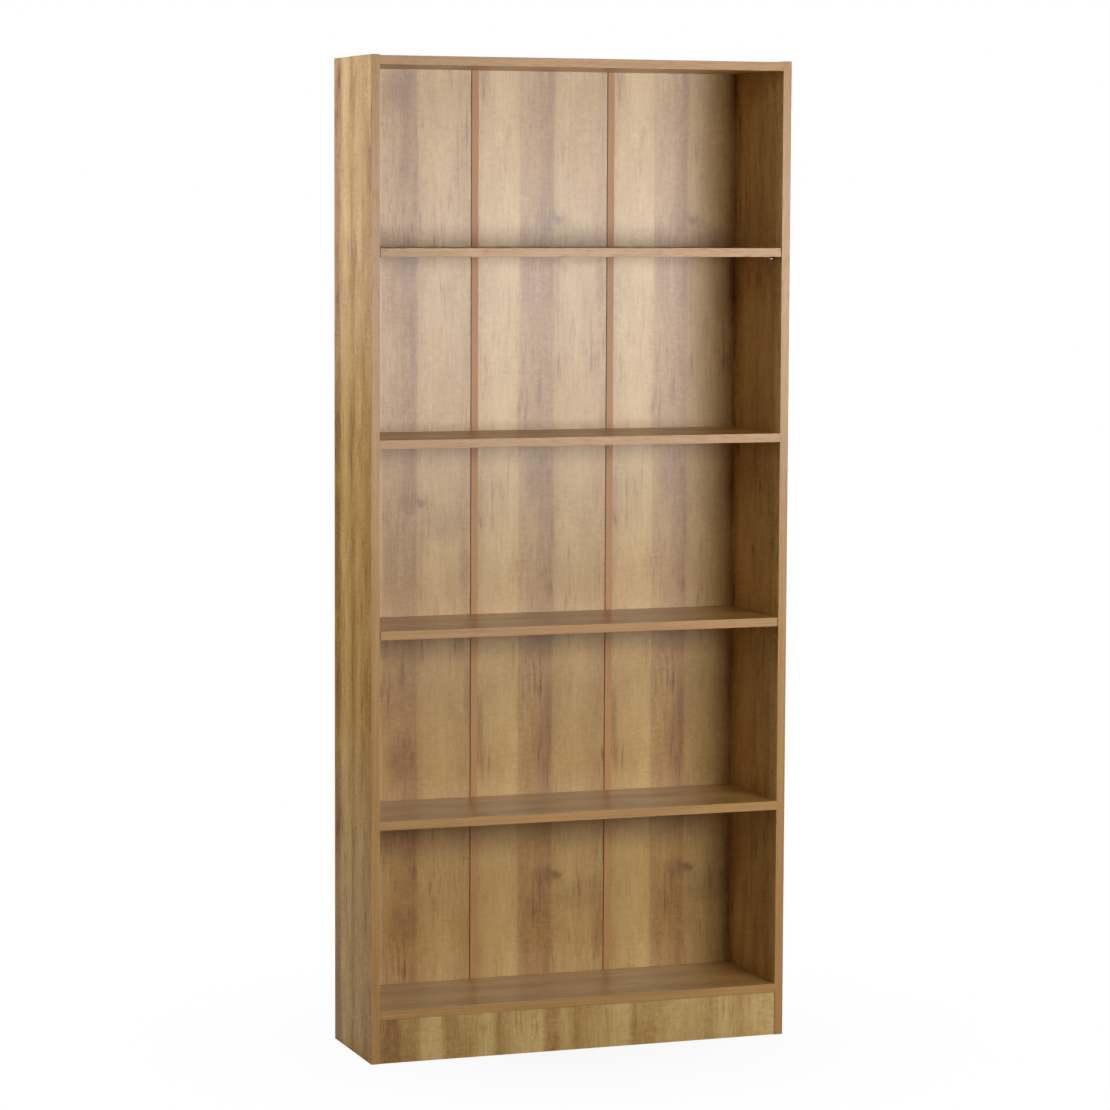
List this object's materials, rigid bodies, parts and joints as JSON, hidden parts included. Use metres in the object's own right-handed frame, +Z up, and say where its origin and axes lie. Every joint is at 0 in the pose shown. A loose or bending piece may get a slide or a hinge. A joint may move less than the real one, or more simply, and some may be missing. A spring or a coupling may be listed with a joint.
{
  "type": "bookcase",
  "caption": "Tall open bookcase in oak-effect board with even bays, fixed and adjustable shelves on pins, a plinth and a jointed thin back.",
  "frame": {"origin": "middle of the footprint, on the floor", "axes": "+Z up; the open front faces -Y; +X is to the right of someone facing the front"},
  "size_m": [0.8, 0.23, 1.8],
  "materials": {
    "oak_board": "oak-effect melamine faces on chipboard, satin, grain lengthwise",
    "oak_edging": "oak-effect edging strip, satin, fine lines lengthwise",
    "back_board": "printed oak paper on thin fibreboard, satin front, plain brown rear",
    "strip_plastic": "tan extruded plastic",
    "dowel_beech": "plain beech",
    "cap_plastic": "oak-coloured moulded plastic",
    "cam_zinc": "die-cast zinc, dull",
    "steel": "zinc-plated steel",
    "pin_nickel": "nickel-plated steel"
  },
  "bodies": {
    "case": {"left_side": "oak_board", "right_side": "oak_board", "top_panel": "oak_board", "base_panel": "oak_board", "plinth": "oak_board", "shelf_2": "oak_board", "shelf_4": "oak_board", "left_side_edging": "oak_edging", "right_side_edging": "oak_edging", "top_panel_edging": "oak_edging", "base_panel_edging": "oak_edging", "shelf_2_edging": "oak_edging", "shelf_4_edging": "oak_edging", "back_panel_left": "back_board", "back_panel_middle": "back_board", "back_panel_right": "back_board", "back_strip_left": "strip_plastic", "back_strip_right": "strip_plastic", "back_nails_left": "steel", "back_nails_middle": "steel", "back_nails_right": "steel", "top_cams": "cam_zinc", "shelf_2_cams": "cam_zinc", "shelf_4_cams": "cam_zinc", "base_cams": "cam_zinc", "plinth_cams": "cam_zinc", "top_cam_bolts": "steel", "shelf_2_cam_bolts": "steel", "shelf_4_cam_bolts": "steel", "base_cam_bolts": "steel", "plinth_cam_bolts": "steel", "top_dowels": "dowel_beech", "shelf_2_dowels": "dowel_beech", "shelf_4_dowels": "dowel_beech", "base_dowels": "dowel_beech", "plinth_dowels": "dowel_beech", "top_cam_caps": "cap_plastic", "shelf_2_cam_caps": "cap_plastic", "shelf_4_cam_caps": "cap_plastic"},
    "shelf_1": {"shelf_1": "oak_board", "shelf_1_edging": "oak_edging"},
    "shelf_3": {"shelf_3": "oak_board", "shelf_3_edging": "oak_edging"},
    "shelf_1_pin_front_left": {"shelf_1_pin_front_left": "pin_nickel"},
    "shelf_1_pin_rear_left": {"shelf_1_pin_rear_left": "pin_nickel"},
    "shelf_1_pin_front_right": {"shelf_1_pin_front_right": "pin_nickel"},
    "shelf_1_pin_rear_right": {"shelf_1_pin_rear_right": "pin_nickel"},
    "shelf_3_pin_front_left": {"shelf_3_pin_front_left": "pin_nickel"},
    "shelf_3_pin_rear_left": {"shelf_3_pin_rear_left": "pin_nickel"},
    "shelf_3_pin_front_right": {"shelf_3_pin_front_right": "pin_nickel"},
    "shelf_3_pin_rear_right": {"shelf_3_pin_rear_right": "pin_nickel"}
  },
  "joints": [
    {"name": "shelf_1_lift", "type": "slide", "parent": "case", "child": "shelf_1", "axis": [0, 0, 1], "range_m": [0, 0.064]},
    {"name": "shelf_3_lift", "type": "slide", "parent": "case", "child": "shelf_3", "axis": [0, 0, 1], "range_m": [0, 0.064]},
    {"name": "shelf_1_pin_front_left_pull", "type": "slide", "parent": "case", "child": "shelf_1_pin_front_left", "axis": [1, 0, 0], "range_m": [0, 0.01]},
    {"name": "shelf_1_pin_rear_left_pull", "type": "slide", "parent": "case", "child": "shelf_1_pin_rear_left", "axis": [1, 0, 0], "range_m": [0, 0.01]},
    {"name": "shelf_1_pin_front_right_pull", "type": "slide", "parent": "case", "child": "shelf_1_pin_front_right", "axis": [-1, 0, 0], "range_m": [0, 0.01]},
    {"name": "shelf_1_pin_rear_right_pull", "type": "slide", "parent": "case", "child": "shelf_1_pin_rear_right", "axis": [-1, 0, 0], "range_m": [0, 0.01]},
    {"name": "shelf_3_pin_front_left_pull", "type": "slide", "parent": "case", "child": "shelf_3_pin_front_left", "axis": [1, 0, 0], "range_m": [0, 0.01]},
    {"name": "shelf_3_pin_rear_left_pull", "type": "slide", "parent": "case", "child": "shelf_3_pin_rear_left", "axis": [1, 0, 0], "range_m": [0, 0.01]},
    {"name": "shelf_3_pin_front_right_pull", "type": "slide", "parent": "case", "child": "shelf_3_pin_front_right", "axis": [-1, 0, 0], "range_m": [0, 0.01]},
    {"name": "shelf_3_pin_rear_right_pull", "type": "slide", "parent": "case", "child": "shelf_3_pin_rear_right", "axis": [-1, 0, 0], "range_m": [0, 0.01]}
  ]
}
